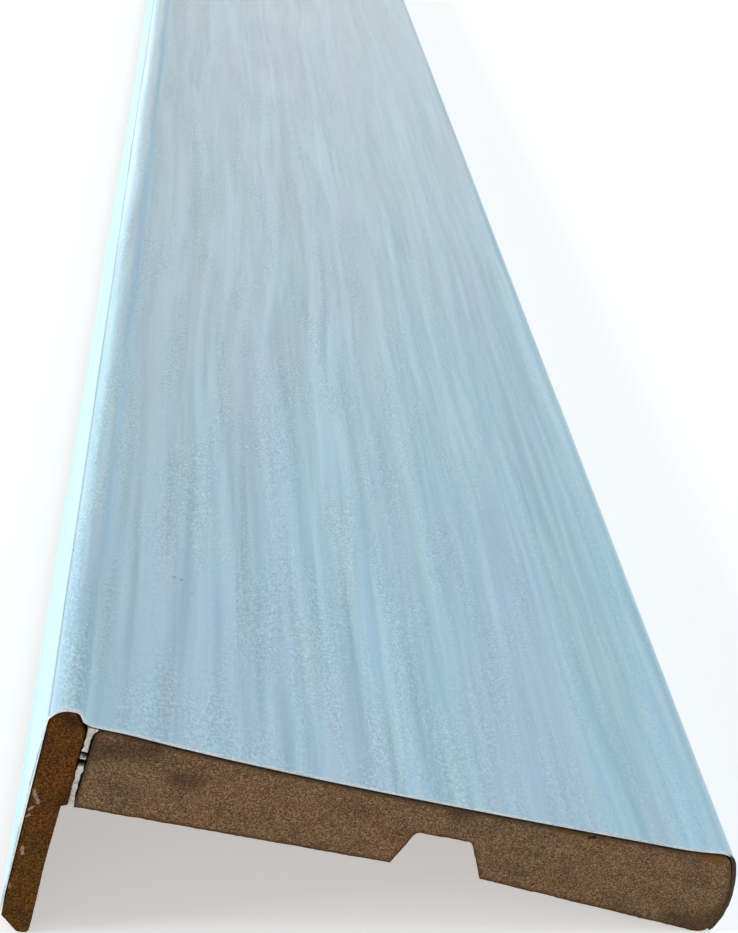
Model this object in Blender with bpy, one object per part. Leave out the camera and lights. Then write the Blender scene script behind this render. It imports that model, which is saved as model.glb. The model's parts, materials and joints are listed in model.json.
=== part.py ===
"""Telescopic door architrave: a board with a tongue glued along its left edge, both wrapped in decor foil.

The cross-section is drawn in U and V and pushed along Y. U runs across the face from the foil's outer side at
the tongue to the nose, and V runs up from the part of the back that lies next to the tongue. The whole length
then turns about Y until it lies on the tip of the tongue and the underside of the nose.
"""

import math

import bmesh
import bpy

# Overall sizes, in metres
LENGTH = 0.420
OVERALL_WIDTH = 0.080

# Foil, glue and the gap that pieces keep where they touch
FOIL_THICKNESS = 0.0003
GLUE_THICKNESS = 0.0004
CONTACT_GAP = 0.0003

# Board: its thickness at the tongue and where the dished face is lowest, beside a low lip at the nose
BOARD_EDGE_THICKNESS = 0.0108
BOARD_THIN_THICKNESS = 0.0091
BOARD_CORNER_RADIUS = 0.0015
DISH_CURVE = 4
LIP_WIDTH = 0.0066
LIP_RISE = 0.0006

# Relief groove in the back, from the board's left edge, with a steep wall and a flatter one
GROOVE_START = 0.0348
GROOVE_MOUTH = 0.0104
GROOVE_DEPTH = 0.0049
GROOVE_STEEP_RUN = 0.0014
GROOVE_FLAT_RUN = 0.0026
GROOVE_ROOF_RADIUS = 0.0007
BACK_SLOPE = math.radians(4.4)

# Nose: a long, nearly flat flank between a rounded top corner and a rounder bottom one
NOSE_TOP_RADIUS = 0.0018
NOSE_BOTTOM_RADIUS = 0.0019
NOSE_SETBACK = 0.0025
NOSE_STRAIGHT = 0.0012

# Tongue: its outer side leans in a little towards the tip
TONGUE_THICKNESS = 0.0037
TONGUE_LEAN = 0.0005
TONGUE_DROP = 0.0190
HEAD_RISE = 0.0014
HEAD_OUTER_RADIUS = 0.0017
HEAD_INNER_RADIUS = 0.0005
HEAD_FLANK_WIDTH = 0.0013
HEAD_FLANK_HEIGHT = 0.0024
TIP_CHAMFER_WIDTH = 0.0020
TIP_CHAMFER_HEIGHT = 0.0021
TIP_OUTER_RADIUS = 0.0006
TIP_INNER_RADIUS = 0.0006

# Foil: where it ends on the tongue and the nose, and how it bridges the notch beside the head
FOIL_TIP_MARGIN = 0.0006
FOIL_NOSE_END = math.radians(-35)
NOTCH_WIDTH = 0.0018
NOTCH_DIP = 0.0002
NOTCH_RADIUS = 0.0012

# Glue: it stops short of the back and spreads to both sides in a bead in the notch, under the foil
GLUE_RECESS = 0.0002
BEAD_DEPTH = 0.0010
BEAD_SPREAD_TONGUE = 0.0001
BEAD_SPREAD_BOARD = 0.00035

# Steps in an arc and in a long curve
ARC_STEP = math.radians(15)
CURVE_STEPS = 12

SKIN = CONTACT_GAP + FOIL_THICKNESS
TONGUE_OUTER = SKIN
TONGUE_INNER = TONGUE_OUTER + TONGUE_THICKNESS
GLUE_LEFT = TONGUE_INNER + CONTACT_GAP
GLUE_RIGHT = GLUE_LEFT + GLUE_THICKNESS
BOARD_LEFT = GLUE_RIGHT + CONTACT_GAP
BOARD_RIGHT = OVERALL_WIDTH - SKIN
LIP_END = BOARD_RIGHT - NOSE_SETBACK
LIP_START = LIP_END - LIP_WIDTH
TONGUE_TOP = BOARD_EDGE_THICKNESS + HEAD_RISE
TONGUE_BOTTOM = -TONGUE_DROP

# Colour (linear), roughness and metallic value of each sub-part's material
MATERIALS = {
    "fibreboard": ((0.155, 0.098, 0.058), 0.85, 0.0),
    "hardboard": ((0.105, 0.045, 0.016), 0.75, 0.0),
    "decor_foil": ((0.52, 0.65, 0.74), 0.45, 0.0),
    "set_glue": ((0.70, 0.64, 0.55), 0.50, 0.0),
}


def arc(centre, radius, start, end):
    """Points on an arc, both ends included."""
    steps = max(2, math.ceil(abs(end - start) / ARC_STEP))
    turns = [start + (end - start) * step / steps for step in range(steps + 1)]
    return [(centre[0] + radius * math.cos(turn), centre[1] + radius * math.sin(turn)) for turn in turns]


def unit(start, end):
    """Direction from one point to another."""
    length = math.dist(start, end)
    return (end[0] - start[0]) / length, (end[1] - start[1]) / length


def rounded_path(corners):
    """An open run of points through corners (u, v, radius), each corner between its ends rounded by its radius."""
    points = [corners[0][:2]]
    for before, corner, after in zip(corners, corners[1:], corners[2:]):
        here, radius = corner[:2], corner[2]
        if radius == 0:
            points.append(here)
            continue
        back = unit(here, before[:2])
        ahead = unit(here, after[:2])
        opening = math.acos(max(-1.0, min(1.0, back[0] * ahead[0] + back[1] * ahead[1])))
        reach = radius / math.tan(opening / 2)
        middle = unit((0, 0), (back[0] + ahead[0], back[1] + ahead[1]))
        depth = radius / math.sin(opening / 2)
        centre = (here[0] + middle[0] * depth, here[1] + middle[1] * depth)
        entry = (here[0] + back[0] * reach, here[1] + back[1] * reach)
        leave = (here[0] + ahead[0] * reach, here[1] + ahead[1] * reach)
        start = math.atan2(entry[1] - centre[1], entry[0] - centre[0])
        end = math.atan2(leave[1] - centre[1], leave[0] - centre[0])
        turn = (end - start + math.pi) % (2 * math.pi) - math.pi
        points += arc(centre, radius, start, start + turn)
    points.append(corners[-1][:2])
    return points


def offset_left(points, distance):
    """An open run of points moved to the left of its direction by a distance, with mitred corners."""
    moved = []
    for index, here in enumerate(points):
        before = unit(points[index - 1], here) if index > 0 else unit(here, points[1])
        after = unit(here, points[index + 1]) if index < len(points) - 1 else before
        side = unit((0, 0), (-before[1] - after[1], before[0] + after[0]))
        reach = distance / (side[0] * -after[1] + side[1] * after[0])
        moved.append((here[0] + side[0] * reach, here[1] + side[1] * reach))
    return moved


def face_height(u):
    """Height of the board's face, which falls in a dish from the tongue's side and rises in a lip at the nose."""
    dish = max(0.0, (LIP_START - u) / (LIP_START - BOARD_LEFT))
    lip = max(0.0, (u - LIP_START) / LIP_WIDTH)
    dish_rise = (BOARD_EDGE_THICKNESS - BOARD_THIN_THICKNESS) * dish ** DISH_CURVE
    return BOARD_THIN_THICKNESS + dish_rise + LIP_RISE * lip ** 2


def spread(start, end, count):
    """Evenly spaced values from start up to, but without, end."""
    return [start + (end - start) * step / count for step in range(count)]


def tongue_cap():
    """The tongue from the top of its tip chamfer, up its outer side, over the head and down to its inner side."""
    return rounded_path([
        (TONGUE_OUTER + TONGUE_LEAN, TONGUE_BOTTOM + TIP_CHAMFER_HEIGHT, 0),
        (TONGUE_OUTER, TONGUE_TOP, HEAD_OUTER_RADIUS),
        (TONGUE_INNER - HEAD_FLANK_WIDTH, TONGUE_TOP, HEAD_INNER_RADIUS),
        (TONGUE_INNER, TONGUE_TOP - HEAD_FLANK_HEIGHT, 0),
    ])


def tongue_outline():
    """The whole cross-section of the tongue, clockwise from the top of its tip chamfer."""
    cap = tongue_cap()
    tip = rounded_path([
        (*cap[-1], 0),
        (TONGUE_INNER, TONGUE_BOTTOM, TIP_INNER_RADIUS),
        (TONGUE_OUTER + TONGUE_LEAN + TIP_CHAMFER_WIDTH, TONGUE_BOTTOM, TIP_OUTER_RADIUS),
        (*cap[0], 0),
    ])
    return cap + tip[1:-1]


def nose_bottom():
    """Centre of the nose's bottom corner, which touches the sloping right part of the back."""
    centre_u = BOARD_RIGHT - NOSE_BOTTOM_RADIUS
    run = centre_u - (BOARD_LEFT + GROOVE_START + GROOVE_MOUTH)
    return centre_u, (NOSE_BOTTOM_RADIUS - run * math.sin(BACK_SLOPE)) / math.cos(BACK_SLOPE)


def nose_flank():
    """The long side of the nose, from the board's face down to where it stands straight."""
    low = nose_bottom()[1] + NOSE_STRAIGHT
    rise = face_height(LIP_END) - low
    radius = (rise ** 2 + NOSE_SETBACK ** 2) / (2 * NOSE_SETBACK)
    opening = math.asin(rise / radius)
    turns = spread(opening, 0, CURVE_STEPS // 2) + [0]
    centre_u = BOARD_RIGHT - radius
    return [(centre_u + radius * math.cos(turn), low + radius * math.sin(turn)) for turn in turns]


def board_face():
    """The board from its left edge, round the top corner, along the face and down the nose's flank."""
    across = spread(BOARD_LEFT + 2 * BOARD_CORNER_RADIUS, LIP_START, CURVE_STEPS)
    across += spread(LIP_START, LIP_END, CURVE_STEPS // 3)
    flank = nose_flank()
    corners = [(BOARD_LEFT, BOARD_EDGE_THICKNESS / 2, 0), (BOARD_LEFT, face_height(BOARD_LEFT), BOARD_CORNER_RADIUS)]
    corners += [(u, face_height(u), 0) for u in across]
    corners.append((*flank[0], NOSE_TOP_RADIUS))
    corners += [(u, v, 0) for u, v in flank[1:]]
    return rounded_path(corners)


def board_outline():
    """The whole cross-section of the board, clockwise from half way up its left edge."""
    mouth_left = BOARD_LEFT + GROOVE_START
    mouth_right = mouth_left + GROOVE_MOUTH
    groove = rounded_path([
        (mouth_right, 0, 0),
        (mouth_right - GROOVE_FLAT_RUN, GROOVE_DEPTH, GROOVE_ROOF_RADIUS),
        (mouth_left + GROOVE_STEEP_RUN, GROOVE_DEPTH, GROOVE_ROOF_RADIUS),
        (mouth_left, 0, 0),
    ])
    bottom_corner = arc(nose_bottom(), NOSE_BOTTOM_RADIUS, 0, -math.pi / 2 - BACK_SLOPE)
    return board_face() + bottom_corner + groove + [(BOARD_LEFT, 0)]


def at_height(start, end, v):
    """The point at height v on the line through two points."""
    share = (v - start[1]) / (end[1] - start[1])
    return start[0] + (end[0] - start[0]) * share, v


def foil_surface():
    """The foil's outer side in cross-section, from the tongue's outer side to the nose's bottom corner."""
    cap = offset_left(tongue_cap(), SKIN)
    low_end = at_height(cap[0], cap[1], cap[0][1] + FOIL_TIP_MARGIN)
    bottom_corner = arc(nose_bottom(), NOSE_BOTTOM_RADIUS, 0, FOIL_NOSE_END)
    board = offset_left(board_face() + bottom_corner[1:], SKIN)
    board = [point for point in board if point[0] > BOARD_LEFT + NOTCH_WIDTH]
    notch = at_height(cap[-2], cap[-1], BOARD_EDGE_THICKNESS - NOTCH_DIP + SKIN)
    bridge = rounded_path([(*cap[-2], 0), (*notch, NOTCH_RADIUS), (*board[0], 0)])
    return [low_end] + cap[1:-2] + bridge + board[1:]


def foil_outline():
    """The whole cross-section of the foil."""
    outer = foil_surface()
    return outer + offset_left(outer, -FOIL_THICKNESS)[::-1]


def glue_outline():
    """The glue between the tongue and the board's edge, clockwise, with its bead in the notch on top."""
    bead_top = BOARD_EDGE_THICKNESS - NOTCH_DIP
    bead_foot = bead_top - BEAD_DEPTH
    return [
        (GLUE_LEFT, GLUE_RECESS),
        (GLUE_LEFT, bead_foot),
        (GLUE_LEFT - BEAD_SPREAD_TONGUE, bead_top),
        (GLUE_RIGHT + BEAD_SPREAD_BOARD, bead_top),
        (GLUE_RIGHT, bead_foot),
        (GLUE_RIGHT, GLUE_RECESS),
    ]


def resting_tilt(tongue_points, board_points):
    """The turn about Y that brings the lowest points of the tongue and of the board's nose to one height."""
    low, high = 0.0, math.pi / 4
    for _ in range(60):
        turn = (low + high) / 2
        sine, cosine = math.sin(turn), math.cos(turn)
        tongue_low = min(v * cosine - u * sine for u, v in tongue_points)
        board_low = min(v * cosine - u * sine for u, v in board_points)
        if tongue_low < board_low:
            low = turn
        else:
            high = turn
    return low


def make_material(name):
    """A plain Principled material."""
    colour, roughness, metallic = MATERIALS[name]
    material = bpy.data.materials.new(name)
    material.use_nodes = True
    shader = material.node_tree.nodes["Principled BSDF"]
    shader.inputs["Base Color"].default_value = (*colour, 1.0)
    shader.inputs["Roughness"].default_value = roughness
    shader.inputs["Metallic"].default_value = metallic
    material.diffuse_color = (*colour, 1.0)
    return material


def push_along_length(name, outline, material, parent):
    """A cross-section drawn at one cut end and pushed along Y to the other."""
    mesh = bpy.data.meshes.new(name)
    shape = bmesh.new()
    corners = [shape.verts.new((u, -LENGTH / 2, v)) for u, v in outline]
    end_face = shape.faces.new(corners)
    pushed = bmesh.ops.extrude_face_region(shape, geom=[end_face])
    moved = [item for item in pushed["geom"] if isinstance(item, bmesh.types.BMVert)]
    bmesh.ops.translate(shape, verts=moved, vec=(0, LENGTH, 0))
    bmesh.ops.recalc_face_normals(shape, faces=shape.faces)
    shape.to_mesh(mesh)
    shape.free()
    mesh.materials.append(make_material(material))
    mesh.shade_smooth()
    mesh.set_sharp_from_angle(angle=math.radians(30))
    piece = bpy.data.objects.new(name, mesh)
    bpy.context.scene.collection.objects.link(piece)
    piece.parent = parent
    return piece


def make_architrave():
    """All pieces of the architrave, lying as they rest, with the origin below the middle of their box."""
    outlines = {
        "face_board": (board_outline(), "fibreboard"),
        "tongue": (tongue_outline(), "hardboard"),
        "glue_line": (glue_outline(), "set_glue"),
        "foil": (foil_outline(), "decor_foil"),
    }
    tilt = resting_tilt(outlines["tongue"][0], outlines["face_board"][0])

    frame = bpy.data.objects.new("architrave", None)
    bpy.context.scene.collection.objects.link(frame)
    sine, cosine = math.sin(tilt), math.cos(tilt)
    turned = [(u * cosine + v * sine, v * cosine - u * sine) for outline, _ in outlines.values() for u, v in outline]
    middle = (min(x for x, _ in turned) + max(x for x, _ in turned)) / 2
    frame.location = (-middle, 0, -min(z for _, z in turned))
    frame.rotation_euler = (0, tilt, 0)
    for name, (outline, material) in outlines.items():
        push_along_length(name, outline, material, frame)


def main():
    """Clears the scene and makes the architrave in it."""
    for item in list(bpy.data.objects):
        bpy.data.objects.remove(item, do_unlink=True)
    make_architrave()
    bpy.context.view_layer.update()


main()
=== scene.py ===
"""Looks of a telescopic door architrave: pressed foil, sawn fibreboard and set glue, around its fixed frame.

The file is laid out as a Blender add-on and is run as a script. Each piece starts as a merged copy of its
solid, which is then cut finer, roughened and coloured. Two directions of the cross-section, across the face
and up from the back, are read from the mount on the flat back. All lengths are in metres.
"""

import json
import math

import bmesh
import bpy
from bpy.props import FloatProperty, FloatVectorProperty, PointerProperty
from mathutils import Matrix, Vector, kdtree, noise
from mathutils.bvhtree import BVHTree


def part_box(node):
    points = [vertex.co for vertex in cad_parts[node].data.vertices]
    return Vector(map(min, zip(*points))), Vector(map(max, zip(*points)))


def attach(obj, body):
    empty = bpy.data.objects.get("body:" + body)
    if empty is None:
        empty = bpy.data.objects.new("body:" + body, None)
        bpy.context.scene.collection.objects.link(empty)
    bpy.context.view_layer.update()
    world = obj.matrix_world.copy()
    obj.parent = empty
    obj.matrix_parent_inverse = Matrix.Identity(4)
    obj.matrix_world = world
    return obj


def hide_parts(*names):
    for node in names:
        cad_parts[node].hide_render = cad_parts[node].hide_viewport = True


bl_info = {
    "name": "Door architrave looks",
    "version": (1, 0, 0),
    "blender": (4, 5, 0),
    "location": "3D View > Sidebar > Architrave",
    "description": "Pressed foil, sawn fibreboard and set glue of a wrapped door architrave, on its frame",
    "category": "Object",
}

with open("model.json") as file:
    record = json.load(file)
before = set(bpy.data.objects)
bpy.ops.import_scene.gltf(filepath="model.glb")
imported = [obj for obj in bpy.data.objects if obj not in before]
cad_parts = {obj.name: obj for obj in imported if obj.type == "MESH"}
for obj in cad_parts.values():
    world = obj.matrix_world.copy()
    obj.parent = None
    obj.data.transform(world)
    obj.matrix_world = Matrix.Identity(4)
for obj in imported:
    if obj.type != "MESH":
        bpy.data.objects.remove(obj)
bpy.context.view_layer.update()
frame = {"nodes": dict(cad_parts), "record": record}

# The cross-section's own directions and edges, read from the frame
BACK_MOUNT = next(mount for mount in frame["record"]["mounts"] if mount["name"] == "back_frame_side")
BACK_POINT = Vector(BACK_MOUNT["pos_m"])
UP = -Vector(BACK_MOUNT["axis"])
ACROSS = Vector((0, 1, 0)).cross(UP)
TILT = math.atan2(UP.x, UP.z)
LEFT_EDGE = min(corner.co.dot(ACROSS) for corner in frame["nodes"]["foil"].data.vertices)
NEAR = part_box("foil")[0].y
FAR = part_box("foil")[1].y

# Merging and choosing faces
MERGE_DISTANCE = 1e-6
FLAT_ANGLE = math.radians(0.05)
SMOOTH_ANGLE = math.radians(35)
BACKING_REACH = 0.0012

# Material slots of the foil and of the sawn pieces
FOIL_FACE, FOIL_CUT, FOIL_UNDERSIDE = range(3)
SAWN_END, MILLED_SIDE = range(2)

# The photograph's frame, and the camera's focal length in its pixels
PHOTO_HEIGHT = 933
FOCAL_PIXELS = 1600


def across(place):
    """How far a place lies across the face from the foil's outer side at the tongue."""
    return place.dot(ACROSS) - LEFT_EDGE


def rise(place):
    """How far a place lies above the flat back beside the tongue."""
    return (place - BACK_POINT).dot(UP)


def at_section(distance_across, distance_up, along):
    """The place at two distances in the cross-section and one along the length."""
    flat = ACROSS * (LEFT_EDGE + distance_across - BACK_POINT.dot(ACROSS)) + UP * distance_up
    return Vector((BACK_POINT.x, along, BACK_POINT.z)) + flat


def smooth_step(value, start, end):
    """0 before start, 1 after end, and a smooth change between them."""
    share = max(0.0, min(1.0, (value - start) / (end - start)))
    return share * share * (3 - 2 * share)


def length(name, description, default, **limits):
    """A length in metres that the user can set; its minimum is zero if no other is given."""
    limits = {"min": 0.0, **limits}
    return FloatProperty(
        name=name, description=description, default=default, unit="LENGTH", precision=6, **limits,
    )


def tint(name, description, default):
    """A colour that the user can set."""
    return FloatVectorProperty(
        name=name, description=description, default=default, min=0.0, max=1.0, subtype="COLOR",
    )


class FoilSettings(bpy.types.PropertyGroup):
    """Sizes and colours of the decor foil."""

    cell: length("Cell", "Distance between mesh points across the face", 0.00042, min=0.0002)
    row: length("Row", "Distance between mesh points along the length", 0.00125, min=0.0005)
    grain_depth: length("Grain depth", "How deep the wood grain is pressed in", 0.00020)
    grain_width: length("Grain width", "Typical distance between two ridges of the grain", 0.0040, min=0.0005)
    grain_length: length("Grain length", "Typical length of one ridge of the grain", 0.085, min=0.005)
    grain_drift: length("Grain drift", "How far a ridge wanders sideways", 0.0026)
    pebble: length("Pebble", "Size of the fine pebbles between the ridges", 0.00033, min=0.0001)
    pebble_depth: length("Pebble depth", "How far the pebbles stand out", 0.00013)
    backing: length(
        "Backing", "How much thicker the adhesive makes the foil on tongue and nose", 0.0002, max=0.00025,
    )
    tear: length("Torn edge", "How far the sawn edge is chipped back", 0.00022)
    colour: tint("Colour", "Main colour of the face", (0.445, 0.69, 0.86))
    # Painted shade: the grain's valleys are coloured darker than the face.
    valley_shade_colour: tint("Valley colour", "Colour in the valleys of the grain", (0.34, 0.56, 0.69))
    cut_colour: tint("Cut colour", "Colour of the foil's sawn edge", (0.86, 0.88, 0.88))
    underside_colour: tint(
        "Underside colour", "Colour of the dried adhesive under the foil", (0.05, 0.04, 0.03),
    )
    # Painted shade: this colour darkens the foil's sawn edge around the nose.
    nose_shade_colour: tint(
        "Shaded colour", "Colour of the foil's sawn edge where the dust sticks to it", (0.066, 0.036, 0.017),
    )


class BoardSettings(bpy.types.PropertyGroup):
    """Sizes and colours of the light fibreboard."""

    cell: length("Cell", "Distance between mesh points on the sawn end", 0.00045, min=0.0002)
    saw_depth: length("Saw depth", "Depth of the pits that the saw leaves in the end", 0.00014)
    colour: tint("Colour", "Main colour of the sawn fibres", (0.262, 0.150, 0.074))
    dark_colour: tint("Dark colour", "Colour of dark fibres and bark specks", (0.060, 0.033, 0.017))
    light_colour: tint("Light colour", "Colour of the palest fibres", (0.50, 0.33, 0.18))
    stain_colour: tint(
        "Stain colour", "Colour of the adhesive that has soaked in under the foil", (0.23, 0.095, 0.016),
    )
    reach: length(
        "Reach", "How far the nose swells to the foil, and the other edge to the glue", 0.00008, max=0.00009,
    )


class TongueSettings(bpy.types.PropertyGroup):
    """Sizes and colours of the dense fibreboard tongue."""

    cell: length("Cell", "Distance between mesh points on the sawn end", 0.0002, min=0.0001)
    saw_depth: length("Saw depth", "Depth of the pits that the saw leaves in the end", 0.00010)
    colour: tint("Colour", "Main colour of the sawn fibres", (0.150, 0.050, 0.006))
    low_colour: tint("Low colour", "Colour of the sawn fibres in the lower half", (0.158, 0.066, 0.008))
    dark_colour: tint("Dark colour", "Colour of the darkest fibres and of the rim", (0.022, 0.009, 0.002))
    light_colour: tint("Light colour", "Colour of the palest fibres", (0.28, 0.13, 0.03))
    stain_colour: tint("Stain colour", "Colour of the flecks of glue on the sawn end", (0.48, 0.32, 0.22))
    reach: length("Reach", "How far the tongue's outer side swells towards the foil", 0.0002, max=0.00025)
    hollow: length(
        "Hollow", "How far the tongue's bare inner side is milled in below the board", 0.00035, max=0.0005,
    )
    shoulder: length(
        "Shoulder", "How far the inner side stands out beside the board's lower edge", 0.00029, max=0.0003,
    )


class GlueSettings(bpy.types.PropertyGroup):
    """Sizes and colour of the set glue."""

    cell: length("Cell", "Distance between mesh points up the joint", 0.0002, min=0.0001)
    spread: length("Spread", "How far the glue reaches out to the wood on each side", 0.00028)
    colour: tint("Colour", "Colour of the set glue", (0.76, 0.71, 0.64))
    # Painted shade inside the crack.
    crack_shade_colour: tint("Crack colour", "Colour inside the crack", (0.03, 0.018, 0.012))


class StageSettings(bpy.types.PropertyGroup):
    """Camera, floor and lights."""

    camera_place: FloatVectorProperty(
        name="Camera place", description="Where the camera stands",
        default=(-0.02112, -0.33827, 0.13453), subtype="TRANSLATION", unit="LENGTH",
    )
    camera_aim: FloatVectorProperty(
        name="Camera aim", description="The place on the floor in the middle of the picture",
        default=(0.00813, -0.10564, 0.0), subtype="TRANSLATION", unit="LENGTH",
    )
    camera_roll: FloatProperty(
        name="Camera roll", description="Turn of the camera about its line of sight",
        default=math.radians(5.31), subtype="ANGLE",
    )
    floor_size: length("Floor size", "Width of the square floor", 6.0, min=1.0)
    floor_colour: tint("Floor colour", "Colour of the plain floor", (0.70, 0.70, 0.70))
    floor_glow: FloatProperty(
        name="Floor glow", description="How brightly the floor is lit from below, as a light table is",
        default=0.45, min=0.0,
    )
    sky_colour: tint("Surround colour", "Colour of the soft light from all round", (0.93, 0.97, 1.0))


def select_only(piece):
    """Makes one object the only selected one, and the active one."""
    bpy.ops.object.select_all(action="DESELECT")
    piece.select_set(True)
    bpy.context.view_layer.objects.active = piece


def merged_copy(node_name, piece_name):
    """A new piece that starts as a copy of a node, with its triangles merged back into whole flat faces."""
    mesh = frame["nodes"][node_name].data.copy()
    mesh.name = piece_name
    mesh.materials.clear()
    piece = bpy.data.objects.new(piece_name, mesh)
    bpy.context.scene.collection.objects.link(piece)
    select_only(piece)
    bpy.ops.object.mode_set(mode="EDIT")
    bpy.ops.mesh.select_all(action="SELECT")
    bpy.ops.mesh.customdata_custom_splitnormals_clear()
    bpy.ops.mesh.remove_doubles(threshold=MERGE_DISTANCE)
    bpy.ops.mesh.dissolve_limited(angle_limit=FLAT_ANGLE)
    bpy.ops.object.mode_set(mode="OBJECT")
    return piece


def select_faces(piece, wanted):
    """Selects, in edit mode, only the faces that are wanted."""
    bpy.ops.mesh.select_mode(type="FACE")
    shape = bmesh.from_edit_mesh(piece.data)
    for face in shape.faces:
        face.select = wanted(face)
    shape.select_flush_mode()
    bmesh.update_edit_mesh(piece.data)


def select_edges(piece, wanted):
    """Selects, in edit mode, only the edges that are wanted."""
    bpy.ops.mesh.select_mode(type="EDGE")
    shape = bmesh.from_edit_mesh(piece.data)
    for edge in shape.edges:
        edge.select = wanted(edge)
    shape.select_flush_mode()
    bmesh.update_edit_mesh(piece.data)


def cut_faces(piece, wanted, places, direction):
    """Cuts the wanted faces with a plane through each place, square to one direction."""
    for place in places:
        select_faces(piece, wanted)
        bpy.ops.mesh.bisect(plane_co=place, plane_no=direction)


def displace(piece, group_name, distance, direction="NORMAL"):
    """Moves a vertex group by its weights times a distance, with an applied Displace modifier."""
    select_only(piece)
    modifier = piece.modifiers.new(group_name, "DISPLACE")
    modifier.direction = direction
    modifier.mid_level = 0
    modifier.strength = distance
    modifier.vertex_group = group_name
    bpy.ops.object.modifier_apply(modifier=modifier.name)


def paint_weights(piece, group_name, weight_at):
    """Paints a vertex group with the weight that each point gets; points of no weight stay out of it."""
    group = piece.vertex_groups.new(name=group_name)
    for corner in piece.data.vertices:
        weight = weight_at(corner)
        if weight > 0:
            group.add([corner.index], min(1.0, weight), "REPLACE")


def keep_value(piece, name, values):
    """Stores one number per point, which the piece's material reads by name."""
    attribute = piece.data.attributes.new(name, "FLOAT", "POINT")
    attribute.data.foreach_set("value", values)


def finish_piece(piece, node_name, materials):
    """Shades a piece, gives it its materials, and lets it stand for its node."""
    select_only(piece)
    bpy.ops.object.shade_smooth_by_angle(angle=SMOOTH_ANGLE)
    for material in materials:
        piece.data.materials.append(material)
    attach(piece, "root")
    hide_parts(node_name)


def add(tree, kind, inputs=None, **settings):
    """A new shader node with its settings and inputs; an input is a value or another node's output."""
    node = tree.nodes.new("ShaderNode" + kind)
    for name, value in settings.items():
        setattr(node, name, value)
    for socket, value in (inputs or {}).items():
        if isinstance(value, bpy.types.NodeSocket):
            tree.links.new(value, node.inputs[socket])
        else:
            node.inputs[socket].default_value = value
    return node


def new_material(name):
    """An empty material, its node tree and its shader."""
    material = bpy.data.materials.new(name)
    material.use_nodes = True
    tree = material.node_tree
    return material, tree, tree.nodes["Principled BSDF"]


def speckle(tree, sizes, detail=2.0, roughness=0.5, turn=0.0, lean=0.0, shift=0.0):
    """Noise from 0 to 1 whose spots have the given sizes along X, Y and Z, turned with the section.

    A further turn is about the length, and a lean is about the line square to the face.
    """
    place = add(tree, "TexCoord").outputs["Object"]
    turns = (0, TILT + turn, lean)
    mapped = add(
        tree, "Mapping",
        {"Vector": place, "Location": (shift, shift, shift), "Rotation": turns, "Scale": sizes},
        vector_type="TEXTURE",
    )
    inputs = {"Vector": mapped.outputs[0], "Scale": 1.0, "Detail": detail, "Roughness": roughness}
    return add(tree, "TexNoise", inputs).outputs[0]


def stored(tree, name):
    """The number that a piece stores for its points under a name."""
    return add(tree, "Attribute", attribute_name=name).outputs["Fac"]


def limits(tree, value, start, end, low=0.0, high=1.0):
    """A value spread from one range to another, and held inside it."""
    inputs = {"Value": value, "From Min": start, "From Max": end, "To Min": low, "To Max": high}
    return add(tree, "MapRange", inputs).outputs[0]


def blend(tree, factor, first, second, way="MIX"):
    """Two colours mixed by a factor."""
    node = add(tree, "Mix", data_type="RGBA", blend_type=way)
    for index, value in ((0, factor), (6, first), (7, second)):
        if isinstance(value, bpy.types.NodeSocket):
            tree.links.new(value, node.inputs[index])
        elif index == 0:
            node.inputs[index].default_value = value
        else:
            node.inputs[index].default_value = (*value, 1.0)
    return node.outputs[2]


def times(tree, first, second):
    """The product of two values."""
    node = add(tree, "Math", {0: first, 1: second}, operation="MULTIPLY")
    return node.outputs[0]


def bumps(tree, shader, layers):
    """Bump from several heights, each with its real depth, one on top of the other."""
    normal = None
    for height, depth in layers:
        inputs = {"Height": height, "Distance": depth}
        if normal is not None:
            inputs["Normal"] = normal
        normal = add(tree, "Bump", inputs).outputs[0]
    tree.links.new(normal, shader.inputs["Normal"])


def stretched_noise(place, width, length, shift):
    """Noise about 0 whose spots are long in the direction of the grain."""
    spot = Vector((place.x / width + shift, place.y / length + shift, place.z / width))
    return noise.fractal(spot, 1.0, 2.0, 2)


def grain_height(place, settings):
    """Height of the pressed wood grain at a place, from 0 in a valley to 1 on a ridge."""
    width, length = settings.grain_width, settings.grain_length
    drift = stretched_noise(place, 5 * width, 0.9 * length, 3.3)
    moved = place + ACROSS * (settings.grain_drift * drift)
    long_ridge = smooth_step(stretched_noise(moved, 0.62 * width, 1.3 * length, 0.4), -0.05, 0.5)
    short_ridge = smooth_step(stretched_noise(moved, 0.4 * width, 0.4 * length, 7.7), 0.0, 0.5)
    valley = smooth_step(stretched_noise(moved, 1.3 * width, 1.5 * length, 31.1), 0.0, 0.5)
    calm = 1 - 0.4 * smooth_step(across(place), 0.030, 0.060)
    height = 0.5 + calm * (0.55 * long_ridge + 0.30 * short_ridge - 0.40 * valley - 0.12)
    return max(0.0, min(1.0, height))


def specks(tree, colour, dark, places, radius, strength):
    """A colour with small dark specks at some places."""
    here = add(tree, "TexCoord").outputs["Object"]
    for place in places:
        distance = add(tree, "VectorMath", {0: here, 1: place}, operation="DISTANCE").outputs["Value"]
        colour = blend(tree, limits(tree, distance, radius, radius / 2, 0, strength), colour, dark)
    return colour


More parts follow.
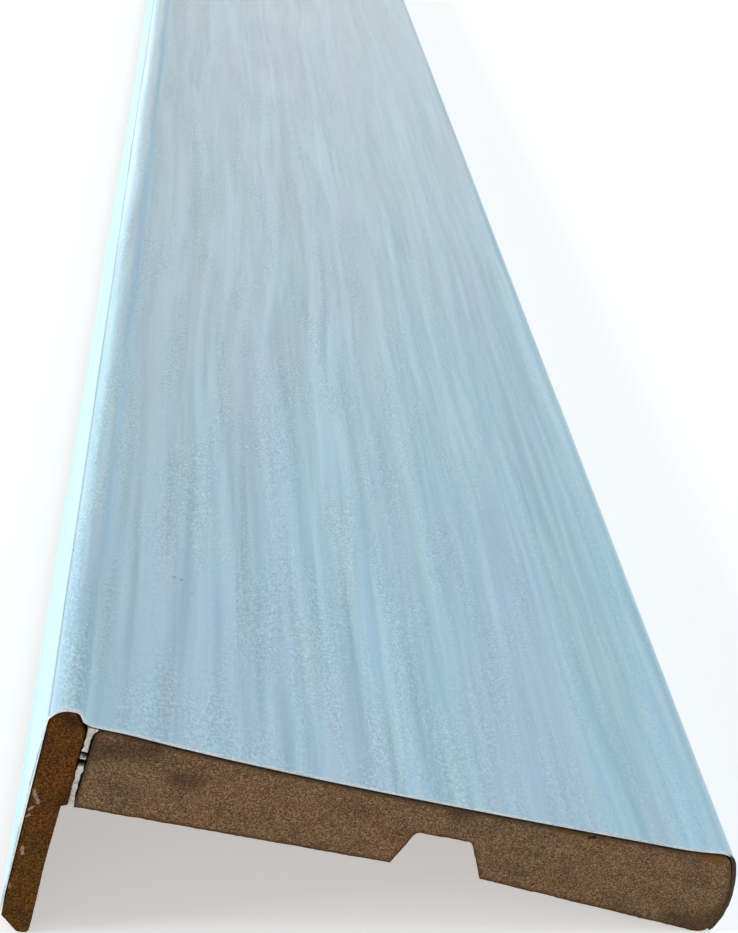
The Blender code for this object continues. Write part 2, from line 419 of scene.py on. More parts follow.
def foil_face_material(settings, speck_places):
    """Satin decor film with a pressed grain, fine pebbling, faint mottling, a few specks of dirt, and painted
    shade and highlights.
    """
    material, tree, shader = new_material("pale_wood_grain_foil")
    grain = stored(tree, "grain")
    highlight_streaks = speckle(tree, (0.0011, 0.035, 0.0011), detail=3)
    clouds = speckle(tree, (0.030, 0.090, 0.030), detail=2)
    lilac = speckle(tree, (0.007, 0.060, 0.007), detail=2, shift=0.2)
    size = settings.pebble
    pebbles = speckle(tree, (size, 1.3 * size, size), detail=2, roughness=0.6, lean=math.radians(20))
    patches = limits(tree, speckle(tree, (0.003, 0.022, 0.003), detail=2, shift=0.4), 0.40, 0.60, 0.22, 1)
    sideways = add(tree, "SeparateXYZ", {0: add(tree, "TexCoord").outputs["Object"]}).outputs["X"]
    patches = times(tree, patches, limits(tree, sideways, 0.0, 0.030, 1, 0.45))
    # Painted shade in the pebbles' pits and painted highlight on their crests.
    pits = times(tree, limits(tree, pebbles, 0.52, 0.38), patches)
    pebble_highlights = times(tree, limits(tree, pebbles, 0.52, 0.66), patches)
    # Painted shade: the grain's valleys darken, mixed in by the stored grain height.
    colour = blend(tree, limits(tree, grain, 0.15, 0.80), settings.valley_shade_colour, settings.colour)
    # Painted highlight: narrow pale streaks stand in for light on thin ridges of the grain.
    colour = blend(tree, limits(tree, highlight_streaks, 0.42, 0.68, 0, 0.52), colour, (0.60, 0.79, 0.87))
    colour = blend(tree, limits(tree, clouds, 0.35, 0.65, 0, 0.25), colour, (0.46, 0.66, 0.72))
    colour = blend(tree, limits(tree, lilac, 0.45, 0.62, 0, 0.30), colour, (0.47, 0.57, 0.75))
    # Painted shade in the pits, painted highlight on the crests.
    colour = blend(tree, times(tree, pits, 0.30), colour, (0.20, 0.34, 0.42))
    colour = blend(tree, times(tree, pebble_highlights, 0.48), colour, (0.70, 0.88, 0.98))
    # Painted shade: the crease on the tongue's side is coloured dark.
    colour = blend(tree, times(tree, stored(tree, "crease"), 0.75), colour, (0.12, 0.18, 0.21))
    colour = specks(tree, colour, (0.12, 0.18, 0.20), speck_places, 0.00031, 0.55)
    tree.links.new(colour, shader.inputs["Base Color"])
    tree.links.new(limits(tree, highlight_streaks, 0.3, 0.7, 0.32, 0.44), shader.inputs["Roughness"])
    pebble_height = times(tree, pebbles, patches)
    bumps(tree, shader, [(pebble_height, settings.pebble_depth)])
    return material


def foil_cut_material(settings):
    """The film's white core where the saw went through it, with painted shade on it around the nose."""
    material, tree, shader = new_material("foil_cut_edge")
    fuzz = speckle(tree, (0.0003, 0.0003, 0.0003), detail=3, roughness=0.7)
    colour = blend(tree, limits(tree, fuzz, 0.35, 0.7), settings.cut_colour, (0.62, 0.64, 0.64))
    # Painted shade on the sawn edge around the nose.
    colour = blend(tree, stored(tree, "nose_shade"), colour, settings.nose_shade_colour)
    tree.links.new(colour, shader.inputs["Base Color"])
    tree.links.new(limits(tree, fuzz, 0.3, 0.7, 0.5, 0.8), shader.inputs["Roughness"])
    shader.inputs["Specular IOR Level"].default_value = 0.15
    bumps(tree, shader, [(fuzz, 0.00005)])
    return material


def foil_underside_material(settings):
    """Dried adhesive under the film."""
    material, tree, shader = new_material("foil_adhesive")
    smears = speckle(tree, (0.002, 0.006, 0.002), detail=3)
    colour = blend(tree, limits(tree, smears, 0.35, 0.65), settings.underside_colour, (0.10, 0.07, 0.045))
    tree.links.new(colour, shader.inputs["Base Color"])
    tree.links.new(limits(tree, smears, 0.3, 0.7, 0.45, 0.7), shader.inputs["Roughness"])
    bumps(tree, shader, [(smears, 0.00005)])
    return material


def sawn_material(name, settings, grit, main, low, shaded_pit_places=()):
    """Sawn fibres: fine speckle, short fibres at two slants, mottling, stains, painted shade in single pits
    and strokes, and a darker rim that is partly denser fibres and partly painted shade.

    Grit is the speckle's size, and the main colour turns to the low one from the upper half to the lower.
    """
    material, tree, shader = new_material(name)
    height = add(tree, "SeparateXYZ", {0: add(tree, "TexCoord").outputs["Object"]}).outputs["Z"]
    fine = speckle(tree, (grit, grit, grit), detail=3, roughness=0.75)
    fibres_one = speckle(tree, (2.2 * grit, grit, grit), detail=3, turn=math.radians(25), shift=0.3)
    fibres_two = speckle(tree, (2.2 * grit, grit, grit), detail=3, turn=math.radians(-35), shift=0.7)
    mottle = speckle(tree, (0.005, 0.005, 0.003), detail=3, roughness=0.6, shift=0.1)
    redness = speckle(tree, (0.009, 0.009, 0.005), detail=2, shift=0.9)
    violet = speckle(tree, (0.006, 0.006, 0.004), detail=2, shift=0.6)
    dark_bits = speckle(tree, (4 * grit, 4 * grit, 2.5 * grit), detail=1, shift=0.5)
    colour = blend(tree, limits(tree, height, 0.020, 0.008), main, low)
    reddish = limits(tree, redness, 0.40, 0.62, 0, 0.35)
    colour = blend(tree, reddish, colour, (1.25, 0.95, 0.85), way="MULTIPLY")
    bluish = limits(tree, violet, 0.48, 0.62, 0, 0.45)
    colour = blend(tree, bluish, colour, (1.05, 0.90, 1.25), way="MULTIPLY")
    colour = blend(tree, limits(tree, mottle, 0.45, 0.68, 0, 0.45), colour, settings.dark_colour)
    colour = blend(tree, limits(tree, fine, 0.56, 0.42, 0, 0.80), colour, settings.dark_colour)
    colour = blend(tree, limits(tree, fine, 0.54, 0.66, 0, 0.80), colour, settings.light_colour)
    colour = blend(tree, limits(tree, fibres_one, 0.58, 0.70, 0, 0.45), colour, settings.light_colour)
    colour = blend(tree, limits(tree, fibres_two, 0.58, 0.70, 0, 0.35), colour, settings.light_colour)
    colour = blend(tree, limits(tree, dark_bits, 0.70, 0.76, 0, 0.85), colour, settings.dark_colour)
    stain = limits(tree, times(tree, stored(tree, "stain"), limits(tree, fine, 0.30, 0.50)), 0.10, 0.80)
    colour = blend(tree, stain, colour, settings.stain_colour)
    colour = blend(tree, times(tree, stored(tree, "shade"), 0.65), colour, settings.dark_colour)
    # The darker rim is partly the denser fibres at the surfaces and partly painted shade along the edges.
    colour = blend(tree, times(tree, stored(tree, "rim"), 0.85), colour, settings.dark_colour)
    # Painted shade in single pits.
    colour = specks(tree, colour, (0.012, 0.004, 0.002), shaded_pit_places, 0.00028, 0.9)
    tree.links.new(colour, shader.inputs["Base Color"])
    tree.links.new(limits(tree, fine, 0.3, 0.7, 0.8, 1.0), shader.inputs["Roughness"])
    shader.inputs["Specular IOR Level"].default_value = 0.1
    bumps(tree, shader, [(fine, 0.00014), (fibres_one, 0.00008), (dark_bits, 0.00012)])
    return material


def milled_material(name, settings):
    """A milled and sanded side of the fibreboard: smoother, with faint lines along the length."""
    material, tree, shader = new_material(name)
    lines = speckle(tree, (0.0006, 0.050, 0.0006), detail=3)
    fibres = speckle(tree, (0.0005, 0.0012, 0.0005), detail=4, roughness=0.7)
    clouds = speckle(tree, (0.020, 0.050, 0.020), detail=2)
    colour = blend(tree, limits(tree, fibres, 0.3, 0.7), settings.dark_colour, settings.colour)
    colour = blend(tree, limits(tree, lines, 0.4, 0.7, 0, 0.35), colour, settings.light_colour)
    colour = blend(tree, limits(tree, clouds, 0.4, 0.65, 0, 0.3), colour, settings.colour)
    tree.links.new(colour, shader.inputs["Base Color"])
    tree.links.new(limits(tree, fibres, 0.3, 0.7, 0.65, 0.85), shader.inputs["Roughness"])
    bumps(tree, shader, [(lines, 0.00004), (fibres, 0.00004)])
    return material


def glue_material(settings):
    """Set glue: off-white, a little yellow in places, with pits, and painted shade in its crack."""
    material, tree, shader = new_material("set_glue")
    clouds = speckle(tree, (0.0015, 0.0015, 0.0015), detail=3)
    pits = speckle(tree, (0.0003, 0.0003, 0.0003), detail=3, roughness=0.7)
    colour = blend(tree, limits(tree, clouds, 0.4, 0.65, 0, 0.6), settings.colour, (0.62, 0.50, 0.36))
    colour = blend(tree, limits(tree, pits, 0.56, 0.68, 0, 0.85), colour, (0.16, 0.10, 0.06))
    # Painted shade inside the crack.
    colour = blend(tree, limits(tree, stored(tree, "crack"), 0.1, 0.5), colour, settings.crack_shade_colour)
    tree.links.new(colour, shader.inputs["Base Color"])
    tree.links.new(limits(tree, clouds, 0.3, 0.7, 0.40, 0.6), shader.inputs["Roughness"])
    bumps(tree, shader, [(pits, 0.00008)])
    return material


def wood_surface():
    """The surface of the board, the tongue and the glue between them, for rays to meet."""
    wood = bmesh.new()
    for name in ("face_board", "tongue", "glue_line"):
        wood.from_mesh(frame["nodes"][name].data)
    surface = BVHTree.FromBMesh(wood)
    wood.free()
    return surface


def sort_foil_faces(piece):
    """Tells the foil's sawn edge, and its underside close before the wood, by their material slots."""
    wood = wood_surface()
    for face in piece.data.polygons:
        start = face.center + face.normal * MERGE_DISTANCE
        if is_sawn_end(face):
            face.material_index = FOIL_CUT
        elif wood.ray_cast(start, face.normal, BACKING_REACH)[0] is not None:
            face.material_index = FOIL_UNDERSIDE


def is_foil_face(face):
    """True for a face on the outer side of the foil."""
    return face.material_index == FOIL_FACE


def is_sawn_end(face):
    """True for a face that looks along the length."""
    return abs(face.normal.y) > 0.5


def outer_points(piece):
    """The numbers of the points that lie on the outer side of the foil and not on its underside."""
    faces = piece.data.polygons
    outer = {index for face in faces if is_foil_face(face) for index in face.vertices}
    under = {index for face in faces if face.material_index == FOIL_UNDERSIDE for index in face.vertices}
    return outer - under


class ARCHITRAVE_OT_foil(bpy.types.Operator):
    """Wraps the decor foil, with its pressed grain and chipped sawn edges, over the board and the tongue"""

    bl_idname = "architrave.foil"
    bl_label = "Wrap the foil"

    CUT_ROWS = (0.00025, 0.0006, 0.0012, 0.0022)
    CREASE_BELOW_TOP = 0.0017
    CREASE_WIDTH = 0.0003
    SPECKS = ((0.0125, 0.0302), (0.0134, 0.0301), (0.0148, 0.0279))
    NOSE_START = 0.0765
    NOSE_TURN = 0.0006
    NOSE_WIDTH = 0.002
    NOSE_CALM = 0.75
    HEAD_DEPTH = 0.0015
    HEAD_END = 0.0042
    HEM_RISE = 0.0004

    def execute(self, context):
        settings = context.scene.architrave_foil
        piece = merged_copy("foil", "wrapped_foil")
        sort_foil_faces(piece)
        bpy.ops.object.mode_set(mode="EDIT")
        self.open_ends(piece)
        self.cut_crease(piece)
        self.cut_rows(piece, settings)
        self.cut_columns(piece, settings)
        self.close_ends(piece)
        bpy.ops.object.mode_set(mode="OBJECT")
        for face in piece.data.polygons:
            if is_sawn_end(face):
                face.material_index = FOIL_CUT
        self.press_grain(piece, settings)
        self.chip_ends(piece, settings)
        self.thicken(piece, settings)
        top = max(rise(corner.co) for corner in frame["nodes"]["face_board"].data.vertices)
        places = [at_section(distance, top, NEAR + along) for distance, along in self.SPECKS]
        face_material = foil_face_material(settings, places)
        finish_piece(
            piece, "foil",
            (face_material, foil_cut_material(settings), foil_underside_material(settings)),
        )
        return {"FINISHED"}

    def crease_height(self):
        """How high on the tongue's outer side the foil creases."""
        top = max(rise(corner.co) for corner in frame["nodes"]["foil"].data.vertices)
        return top - self.CREASE_BELOW_TOP

    def open_ends(self, piece):
        """Takes the two sawn ends away, so that the cuts don't split them."""
        select_faces(piece, is_sawn_end)
        bpy.ops.mesh.delete(type="ONLY_FACE")

    def close_ends(self, piece):
        """Fills the two sawn ends again, with triangles between the outer and the inner outline."""
        bpy.ops.mesh.select_mode(type="EDGE")
        bpy.ops.mesh.select_non_manifold(
            extend=False, use_wire=False, use_boundary=True,
            use_multi_face=False, use_non_contiguous=False, use_verts=False,
        )
        bpy.ops.mesh.fill_holes(sides=0)
        bpy.ops.mesh.select_all(action="SELECT")
        bpy.ops.mesh.normals_make_consistent(inside=False)
        select_faces(piece, is_sawn_end)
        bpy.ops.mesh.quads_convert_to_tris(quad_method="BEAUTY", ngon_method="BEAUTY")

    def cut_crease(self, piece):
        """Three close lines along the tongue's outer side, for the crease to sink between."""
        height = self.crease_height()
        places = [at_section(0, height + step * self.CREASE_WIDTH, 0) for step in (-1, 0, 1)]
        cut_faces(piece, lambda face: is_foil_face(face) and face.normal.dot(ACROSS) < -0.3, places, UP)

    def cut_rows(self, piece, settings):
        """Rows across the foil: a few close to each sawn edge and even ones between them."""
        for inset in self.CUT_ROWS:
            places = [Vector((0, NEAR + inset, 0)), Vector((0, FAR - inset, 0))]
            cut_faces(piece, is_foil_face, places, Vector((0, 1, 0)))
        long_edge = (FAR - NEAR) / 2

        def runs_along(edge):
            start, end = edge.verts
            outside = any(is_foil_face(face) for face in edge.link_faces)
            return outside and abs(start.co.y - end.co.y) > long_edge

        select_edges(piece, runs_along)
        bpy.ops.mesh.subdivide_edgering(
            number_cuts=round((FAR - NEAR) / settings.row), interpolation="LINEAR", smoothness=0,
        )

    def cut_columns(self, piece, settings):
        """Lines along the foil, closer together on the face than on the tongue's side."""

        def cuts_in(edge):
            start, end = edge.verts
            outside = any(is_foil_face(face) for face in edge.link_faces)
            if not outside or abs(start.co.y - end.co.y) > MERGE_DISTANCE:
                return 0
            side = abs((end.co - start.co).normalized().dot(UP))
            cell = settings.cell * (1 + side)
            return math.ceil(edge.calc_length() / cell) - 1

        counts = {cuts_in(edge) for edge in bmesh.from_edit_mesh(piece.data).edges} - {0}
        for count in sorted(counts):
            select_edges(piece, lambda edge, count=count: cuts_in(edge) == count)
            bpy.ops.mesh.subdivide(number_cuts=count, smoothness=0)

    def press_grain(self, piece, settings):
        """Sinks the valleys of the grain, shallower on the nose, and the crease on the tongue's side."""
        outer = outer_points(piece)
        heights = [grain_height(corner.co, settings) for corner in piece.data.vertices]
        crease = self.crease_height()

        def in_crease(corner):
            on_side = corner.normal.dot(ACROSS) < -0.3
            return on_side and abs(rise(corner.co) - crease) < self.CREASE_WIDTH / 2

        def sunk(corner):
            if corner.index not in outer:
                return 0.0
            if in_crease(corner):
                return 1.0
            on_nose = smooth_step(across(corner.co), self.NOSE_START, self.NOSE_START + self.NOSE_WIDTH)
            return (1 - self.NOSE_CALM * on_nose) * (1 - heights[corner.index])

        # The crease is kept for the face material, which paints shade into it.
        crease_shade = [1.0 if in_crease(corner) else 0.0 for corner in piece.data.vertices]
        # The grain height is kept for the face material, which paints shade into the valleys with it.
        keep_value(piece, "grain", heights)
        keep_value(piece, "crease", crease_shade)
        paint_weights(piece, "pressed_grain", sunk)
        displace(piece, "pressed_grain", -settings.grain_depth)

    def chip_ends(self, piece, settings):
        """Chips the sawn edges of the foil's face back by small uneven steps."""
        outer = outer_points(piece)
        reach = self.CUT_ROWS[0] / 2

        def chip(corner, end):
            if corner.index not in outer or abs(corner.co.y - end) > reach:
                return 0.0
            return 0.35 + 0.7 * noise.noise(corner.co * 1600) + 0.7 * noise.noise(corner.co * 180)

        paint_weights(piece, "near_chips", lambda corner: chip(corner, NEAR))
        paint_weights(piece, "far_chips", lambda corner: chip(corner, FAR))
        displace(piece, "near_chips", settings.tear, direction="Y")
        displace(piece, "far_chips", -settings.tear, direction="Y")

    def thicken(self, piece, settings):
        """Brings the foil's underside closer to the head and the nose, and thins its hem under the nose."""
        outer = outer_points(piece)
        head_start = max(rise(corner.co) for corner in piece.data.vertices) - self.HEAD_DEPTH
        start = self.NOSE_START
        turned = start + self.NOSE_TURN
        places = [across(corner.co) for corner in piece.data.vertices]
        # Marks the sawn edge round the nose for the painted shade in the edge's material.
        keep_value(piece, "nose_shade", [smooth_step(place, start, turned) for place in places])

        def above_head(corner):
            over = places[corner.index] < self.HEAD_END and rise(corner.co) > head_start
            return 1.0 if over and corner.index not in outer else 0.0

        def round_nose(corner):
            return 1.0 if places[corner.index] > turned and corner.index not in outer else 0.0

        def hem(corner):
            if places[corner.index] < start or corner.index not in outer:
                return 0.0
            return 1 - smooth_step(rise(corner.co), -self.HEM_RISE * 3, self.HEM_RISE)

        paint_weights(piece, "above_head", above_head)
        paint_weights(piece, "round_nose", round_nose)
        paint_weights(piece, "hem", hem)
        displace(piece, "above_head", -settings.backing, direction="Z")
        displace(piece, "round_nose", -settings.backing, direction="X")
        displace(piece, "hem", -settings.backing, direction="X")


def saw_ends(piece, cell):
    """Cuts the two end faces into a fine grid; the far one is coarser."""
    bpy.ops.object.mode_set(mode="EDIT")
    places = [corner.co.copy() for corner in piece.data.vertices]
    for side, size in ((-1, cell), (1, 2 * cell)):
        for direction in (UP, ACROSS):
            reach = [place.dot(direction) for place in places]
            low, high = min(reach), max(reach)
            count = math.ceil((high - low) / size)
            cuts = [direction * (low + (high - low) * step / count) for step in range(1, count)]
            cut_faces(piece, lambda face: face.normal.y * side > 0.5, cuts, direction)
    bpy.ops.object.mode_set(mode="OBJECT")


def sort_sawn_faces(piece):
    """Tells the milled sides from the sawn ends by their material slots."""
    for face in piece.data.polygons:
        face.material_index = SAWN_END if is_sawn_end(face) else MILLED_SIDE


def mark_rim(piece, width, fades_at=math.inf):
    """Stores how close each point is to the outline of the sawn end: 1 on it, 0 further in than the width.

    From one distance across the face on, the values fade.
    """
    outline = [corner for corner in piece.data.vertices if abs(corner.normal.y) < 0.99]
    tree = kdtree.KDTree(len(outline))
    for corner in outline:
        tree.insert(corner.co, corner.index)
    tree.balance()
    values = []
    for corner in piece.data.vertices:
        distance = tree.find(corner.co)[2]
        kept = 1 - 0.7 * smooth_step(across(corner.co), fades_at, fades_at + 0.002)
        values.append(kept * (1 - smooth_step(distance, 0, width)))
    # The rim darkens the sawn end's colour: partly denser surface fibres, partly painted shade along the
    # edges.
    keep_value(piece, "rim", values)


def mark_strokes(piece, name, strokes):
    """Stores how close each point is to the nearest stroke: 1 in its middle, 0 past its radius.

    A stroke is how far across and how high it starts and ends on the near end, and its radius.
    """

    def closeness(place, stroke):
        start = at_section(stroke[0], stroke[1], NEAR)
        run = at_section(stroke[2], stroke[3], NEAR) - start
        share = (place - start).dot(run) / run.length_squared
        nearest = start + run * max(0.0, min(1.0, share))
        return 1 - smooth_step((place - nearest).length, 0, stroke[4])

    values = [max(closeness(corner.co, stroke) for stroke in strokes) for corner in piece.data.vertices]
    keep_value(piece, name, values)


def roughen_ends(piece, depth, grit):
    """Sinks pits of two sizes into the sawn ends, and softens their outline a little."""

    def pit(corner):
        if abs(corner.normal.y) < 0.3:
            return 0.0
        fine = noise.noise(corner.co / grit)
        coarse = noise.noise(corner.co / (5 * grit))
        return 0.45 + 0.45 * fine + 0.35 * coarse

    paint_weights(piece, "saw_pits", pit)
    displace(piece, "saw_pits", -depth)


class ARCHITRAVE_OT_board(bpy.types.Operator):
    """Saws the light fibreboard to length, with fibres and pits in its ends"""

    bl_idname = "architrave.board"
    bl_label = "Saw the board"

    RIM_WIDTH = 0.0006
    RIM_FADES = 0.0755
    NOSE_REACH = 0.003
    JOINT_REACH = 0.0015
    GRIT = 0.0006
    SHADES = (
        (0.0060, 0.0080, 0.0112, 0.0092, 0.0026), (0.0150, 0.0060, 0.0165, 0.0062, 0.0022),
        (0.0450, 0.0085, 0.0458, 0.0086, 0.0020), (0.0782, 0.0085, 0.0800, 0.0035, 0.0014),
        (0.0800, 0.0035, 0.0775, -0.0018, 0.0022), (0.0740, -0.0005, 0.0775, -0.0012, 0.0022),
    )
    STAINS = ((0.0738, 0.0089, 0.0762, 0.0087, 0.0008), (0.0564, 0.0090, 0.0600, 0.0088, 0.0006))
    # Painted shade: dark spots on the sawn end stand in for small pits too fine for the mesh.
    PITS = ((0.0603, 0.0086), (0.0606, 0.0087), (0.0609, 0.0088))

    def execute(self, context):
        settings = context.scene.architrave_board
        piece = merged_copy("face_board", "sawn_board")
        saw_ends(piece, settings.cell)
        sort_sawn_faces(piece)
        mark_rim(piece, self.RIM_WIDTH, self.RIM_FADES)
        mark_strokes(piece, "shade", self.SHADES)
        mark_strokes(piece, "stain", self.STAINS)
        self.swell_edges(piece, settings)
        roughen_ends(piece, settings.saw_depth, self.GRIT)
        places = [at_section(distance, height, NEAR) for distance, height in self.PITS]
        materials = (
            sawn_material("sawn_fibreboard", settings, 0.00018, settings.colour, settings.colour, places),
            milled_material("milled_fibreboard", settings),
        )
        finish_piece(piece, "face_board", materials)
        return {"FINISHED"}

    def swell_edges(self, piece, settings):
        """Brings the nose out to the foil, and the lower half of the other edge to the tongue."""
        places = [across(corner.co) for corner in piece.data.vertices]
        levels = [rise(corner.co) for corner in piece.data.vertices]
        first, last, top = min(places), max(places), max(levels)
        middle = (top + min(levels)) / 2

        def joint(corner):
            away = smooth_step(places[corner.index] - first, 0, self.JOINT_REACH)
            return (1 - away) * (1 - smooth_step(levels[corner.index], middle, top))

        def nose(corner):
            return smooth_step(places[corner.index], last - self.NOSE_REACH, last - self.NOSE_REACH / 3)

        paint_weights(piece, "nose", nose)
        paint_weights(piece, "joint", joint)
        displace(piece, "nose", settings.reach, direction="X")
        displace(piece, "joint", -settings.reach, direction="X")


class ARCHITRAVE_OT_tongue(bpy.types.Operator):
    """Saws the dense tongue to length, with fine pits in its ends"""

    bl_idname = "architrave.tongue"
    bl_label = "Saw the tongue"

    RIM_WIDTH = 0.0004
    GRIT = 0.0004
    SHADES = ((0.0018, 0.0118, 0.0030, 0.0112, 0.0012), (0.0041, 0.0003, 0.0044, 0.0022, 0.0014))
    FLECKS = (
        (0.0009, 0.0015, 0.0012, 0.0006, 0.00028), (0.0013, 0.0004, 0.0018, -0.0003, 0.00026),
        (0.0013, -0.0009, 0.0010, -0.0014, 0.00026), (0.0012, -0.0020, 0.0009, -0.0024, 0.00024),
        (0.0014, -0.0066, 0.0016, -0.0076, 0.00030), (0.0010, -0.0120, 0.0011, -0.0127, 0.00028),
    )
    LEVELS = (-0.018, -0.015, -0.012, -0.009, -0.006, -0.004, -0.002, -0.0002, 0.0002, 0.0016, 0.003, 0.0044)
    HOLLOW_FROM, HOLLOW_TO = -0.0185, -0.0060
    SHOULDER_FROM, SHOULDER_TO = 0.0010, 0.0060

    def execute(self, context):
        settings = context.scene.architrave_tongue
        piece = merged_copy("tongue", "sawn_tongue")
        saw_ends(piece, settings.cell)
        sort_sawn_faces(piece)
        mark_rim(piece, self.RIM_WIDTH)
        mark_strokes(piece, "shade", self.SHADES)
        mark_strokes(piece, "stain", self.FLECKS)
        self.shape_sides(piece, settings)
        roughen_ends(piece, settings.saw_depth, self.GRIT)
        materials = (
            sawn_material("sawn_hardboard", settings, 0.0002, settings.colour, settings.low_colour),
            milled_material("milled_hardboard", settings),
        )
        finish_piece(piece, "tongue", materials)
        return {"FINISHED"}

    def shape_sides(self, piece, settings):
        """Swells the outer side; hollows the inner one below the board and brings it out beside the board."""
        bpy.ops.object.mode_set(mode="EDIT")
        cuts = [at_section(0, level, 0) for level in self.LEVELS]
        cut_faces(piece, lambda face: abs(face.normal.dot(ACROSS)) > 0.9, cuts, UP)
        bpy.ops.object.mode_set(mode="OBJECT")
        places = [across(corner.co) for corner in piece.data.vertices]
        outer, inner = min(places), max(places)
        levels = [rise(corner.co) for corner in piece.data.vertices]

        def share(corner):
            return (places[corner.index] - outer) / (inner - outer)

        def hollow(corner):
            level = levels[corner.index]
            sunk = smooth_step(level, self.HOLLOW_FROM, self.HOLLOW_TO)
            return share(corner) * sunk if level < 0 else 0.0

        def shoulder(corner):
            level = levels[corner.index]
            raised = 1 - smooth_step(level, self.SHOULDER_FROM, self.SHOULDER_TO)
            return share(corner) * raised if level > 0 else 0.0

        paint_weights(piece, "outward", lambda corner: 1 - share(corner))
        paint_weights(piece, "hollow", hollow)
        paint_weights(piece, "shoulder", shoulder)
        displace(piece, "outward", -settings.reach, direction="X")
        displace(piece, "hollow", -settings.hollow, direction="X")
        displace(piece, "shoulder", settings.shoulder, direction="X")


class ARCHITRAVE_OT_glue(bpy.types.Operator):
    """Fills the joint between the tongue and the board with ragged set glue"""

    bl_idname = "architrave.glue"
    bl_label = "Fill the joint"

    END_ROWS = (0.0002, 0.0004, 0.0006, 0.0009, 0.0013, 0.002, 0.003)
    ROW = 0.004
    CRACK_RISE = 0.0065
    CRACK_HALF_WIDTH = 0.0009
    SLIVER_HALF_WIDTH = 0.00024
    SLIVER_SLANT = -0.45
    CRACK_DEPTH = 0.0012
    WIDTH_STEP = 0.0001
    LEFT_SHARE = 0.40
    RIGHT_SHARE = 0.12

    def execute(self, context):
        settings = context.scene.architrave_glue
        piece = merged_copy("glue_line", "ragged_glue")
        self.cut_grid(piece, settings)
        self.roughen(piece, settings)
        finish_piece(piece, "glue_line", (glue_material(settings),))
        return {"FINISHED"}

    def cut_grid(self, piece, settings):
        """Cuts the glue finer up the joint, and along it near its ends."""
        heights = [rise(corner.co) for corner in piece.data.vertices]
        low, high = min(heights), max(heights)
        count = math.ceil((high - low) / settings.cell)
        bpy.ops.object.mode_set(mode="EDIT")
        levels = [at_section(0, low + (high - low) * step / count, 0) for step in range(1, count)]
        cut_faces(piece, lambda face: True, levels, UP)
        rows = [Vector((0, NEAR + inset, 0)) for inset in self.END_ROWS]
        rows += [Vector((0, FAR - inset, 0)) for inset in self.END_ROWS]
        first = NEAR + self.END_ROWS[-1]
        span = FAR - NEAR - 2 * self.END_ROWS[-1]
        between = round(span / self.ROW)
        rows += [Vector((0, first + span * step / between, 0)) for step in range(1, between)]
        cut_faces(piece, lambda face: True, rows, Vector((0, 1, 0)))
        middle = (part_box("glue_line")[0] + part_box("glue_line")[1]) / 2
        widths = [middle + ACROSS * step * self.WIDTH_STEP for step in (-1, 0, 1)]
        cut_faces(piece, lambda face: abs(face.normal.y) > 0.5, widths, ACROSS)
        bpy.ops.object.mode_set(mode="OBJECT")

    def roughen(self, piece, settings):
        """Spreads the glue unevenly to both sides and breaks its sawn end open at one height."""

        middle = across((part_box("glue_line")[0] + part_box("glue_line")[1]) / 2)

        def in_crack(corner):
            height = rise(corner.co) - self.CRACK_RISE
            from_sliver = height - self.SLIVER_SLANT * (across(corner.co) - middle)
            return abs(height) < self.CRACK_HALF_WIDTH and abs(from_sliver) > self.SLIVER_HALF_WIDTH

        def spread(corner, way, share):
            if corner.normal.x * way < 0.3:
                return 0.0
            return share + 0.6 * noise.noise(corner.co * 1500) + 0.3 * noise.noise(corner.co * 400)

        def sunk(corner):
            if corner.co.y > NEAR + MERGE_DISTANCE:
                return 0.0
            return 1.0 if in_crack(corner) else 0.12 + 0.15 * noise.noise(corner.co * 2200)

        # The crack is kept for the glue material, which paints shade into it.
        keep_value(piece, "crack", [1.0 if in_crack(corner) else 0.0 for corner in piece.data.vertices])
        paint_weights(piece, "spread_left", lambda corner: spread(corner, -1, self.LEFT_SHARE))
        paint_weights(piece, "spread_right", lambda corner: spread(corner, 1, self.RIGHT_SHARE))
        paint_weights(piece, "sunk_end", sunk)
        displace(piece, "spread_left", -settings.spread, direction="X")
        displace(piece, "spread_right", settings.spread, direction="X")
        displace(piece, "sunk_end", self.CRACK_DEPTH, direction="Y")


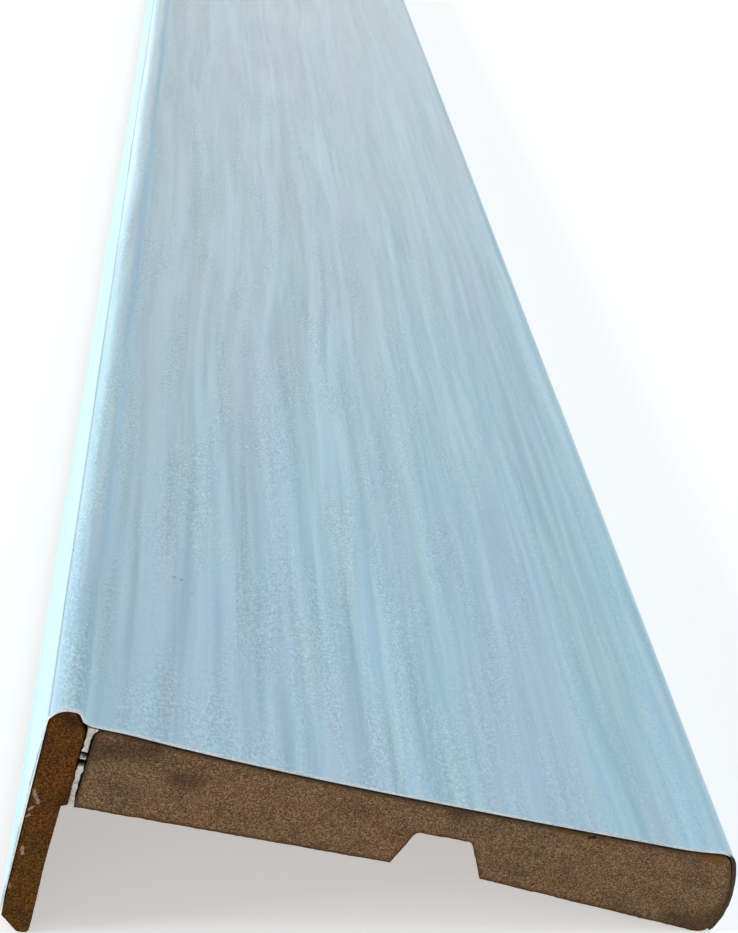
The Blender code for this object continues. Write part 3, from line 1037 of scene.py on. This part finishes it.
class ARCHITRAVE_OT_stage(bpy.types.Operator):
    """Sets the pale floor, the soft lights and the camera"""

    bl_idname = "architrave.stage"
    bl_label = "Set the stage"

    SURROUND_STRENGTH = 0.42
    SOFT_BOXES = (
        ("left_window", (-1.25, -0.20, 0.46), 0.5, 15.0, (0.90, 0.96, 0.96)),
        ("left_far_card", (-0.60, 1.35, 0.32), 0.5, 2.3, (0.94, 0.95, 0.90)),
        ("right_card", (0.75, 0.0, 1.0), 0.8, 5.5, (0.90, 0.96, 1.0)),
        ("far_card", (0.1, 1.9, 0.62), 1.2, 5.0, (1.0, 0.70, 0.40)),
    )

    def execute(self, context):
        settings = context.scene.architrave_stage
        self.lay_floor(settings)
        self.light(context, settings)
        self.set_camera(context, settings)
        return {"FINISHED"}

    def lay_floor(self, settings):
        """A plain pale floor at the height that the part rests on."""
        bpy.ops.object.select_all(action="DESELECT")
        bpy.ops.mesh.primitive_plane_add(size=settings.floor_size, location=(0, 0, 0))
        floor = bpy.context.object
        floor.name = "floor"
        material, tree, shader = new_material("pale_floor")
        shader.inputs["Base Color"].default_value = (*settings.floor_colour, 1.0)
        shader.inputs["Roughness"].default_value = 0.8
        shader.inputs["Specular IOR Level"].default_value = 0.1
        shader.inputs["Emission Color"].default_value = (1.0, 1.0, 1.0, 1.0)
        shader.inputs["Emission Strength"].default_value = settings.floor_glow
        floor.data.materials.append(material)

    def light(self, context, settings):
        """Soft light from all round, cool soft boxes at the sides and a warm one beyond the far end."""
        world = bpy.data.worlds.new("soft_surround")
        world.use_nodes = True
        background = world.node_tree.nodes["Background"]
        background.inputs["Color"].default_value = (*settings.sky_colour, 1.0)
        background.inputs["Strength"].default_value = self.SURROUND_STRENGTH
        context.scene.world = world
        for soft_box in self.SOFT_BOXES:
            self.soft_box(*soft_box)

    def soft_box(self, name, place, size, power, colour):
        """A square area light that looks at the part."""
        bpy.ops.object.light_add(type="AREA", location=place)
        lamp = bpy.context.object
        lamp.name = name
        lamp.rotation_euler = (-Vector(place)).to_track_quat("-Z", "Y").to_euler()
        lamp.data.size = size
        lamp.data.energy = power
        lamp.data.color = colour

    def set_camera(self, context, settings):
        """The camera at the photograph's viewing angle."""
        bpy.ops.object.camera_add(location=settings.camera_place)
        camera = bpy.context.object
        camera.name = "photo_camera"
        sight = Vector(settings.camera_aim) - Vector(settings.camera_place)
        turn = sight.to_track_quat("-Z", "Y").to_matrix() @ Matrix.Rotation(settings.camera_roll, 3, "Z")
        camera.rotation_euler = turn.to_euler()
        camera.data.sensor_fit = "AUTO"
        camera.data.lens = camera.data.sensor_width * FOCAL_PIXELS / PHOTO_HEIGHT
        camera.data.clip_start = 0.01
        context.scene.camera = camera
        context.scene.view_settings.view_transform = "Standard"


class ARCHITRAVE_PT_panel(bpy.types.Panel):
    """Lists the steps that dress the architrave"""

    bl_idname = "ARCHITRAVE_PT_panel"
    bl_label = "Door architrave"
    bl_space_type = "VIEW_3D"
    bl_region_type = "UI"
    bl_category = "Architrave"

    def draw(self, context):
        for operator, settings in STEPS:
            box = self.layout.box()
            box.operator(operator.bl_idname)
            group = getattr(context.scene, settings)
            for name in group.bl_rna.properties.keys():
                if name not in ("rna_type", "name"):
                    box.prop(group, name)


SETTINGS = {
    "architrave_foil": FoilSettings,
    "architrave_board": BoardSettings,
    "architrave_tongue": TongueSettings,
    "architrave_glue": GlueSettings,
    "architrave_stage": StageSettings,
}
STEPS = (
    (ARCHITRAVE_OT_board, "architrave_board"),
    (ARCHITRAVE_OT_tongue, "architrave_tongue"),
    (ARCHITRAVE_OT_glue, "architrave_glue"),
    (ARCHITRAVE_OT_foil, "architrave_foil"),
    (ARCHITRAVE_OT_stage, "architrave_stage"),
)


def register():
    """Registers the settings, the operators and the panel."""
    for name, group in SETTINGS.items():
        bpy.utils.register_class(group)
        setattr(bpy.types.Scene, name, PointerProperty(type=group))
    for operator, _ in STEPS:
        bpy.utils.register_class(operator)
    bpy.utils.register_class(ARCHITRAVE_PT_panel)


def unregister():
    """Takes back what register set up."""
    bpy.utils.unregister_class(ARCHITRAVE_PT_panel)
    for operator, _ in STEPS:
        bpy.utils.unregister_class(operator)
    for name, group in SETTINGS.items():
        delattr(bpy.types.Scene, name)
        bpy.utils.unregister_class(group)


def main():
    register()
    bpy.ops.architrave.board()
    bpy.ops.architrave.tongue()
    bpy.ops.architrave.glue()
    bpy.ops.architrave.foil()
    bpy.ops.architrave.stage()
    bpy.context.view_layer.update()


if __name__ == "__main__":
    main()
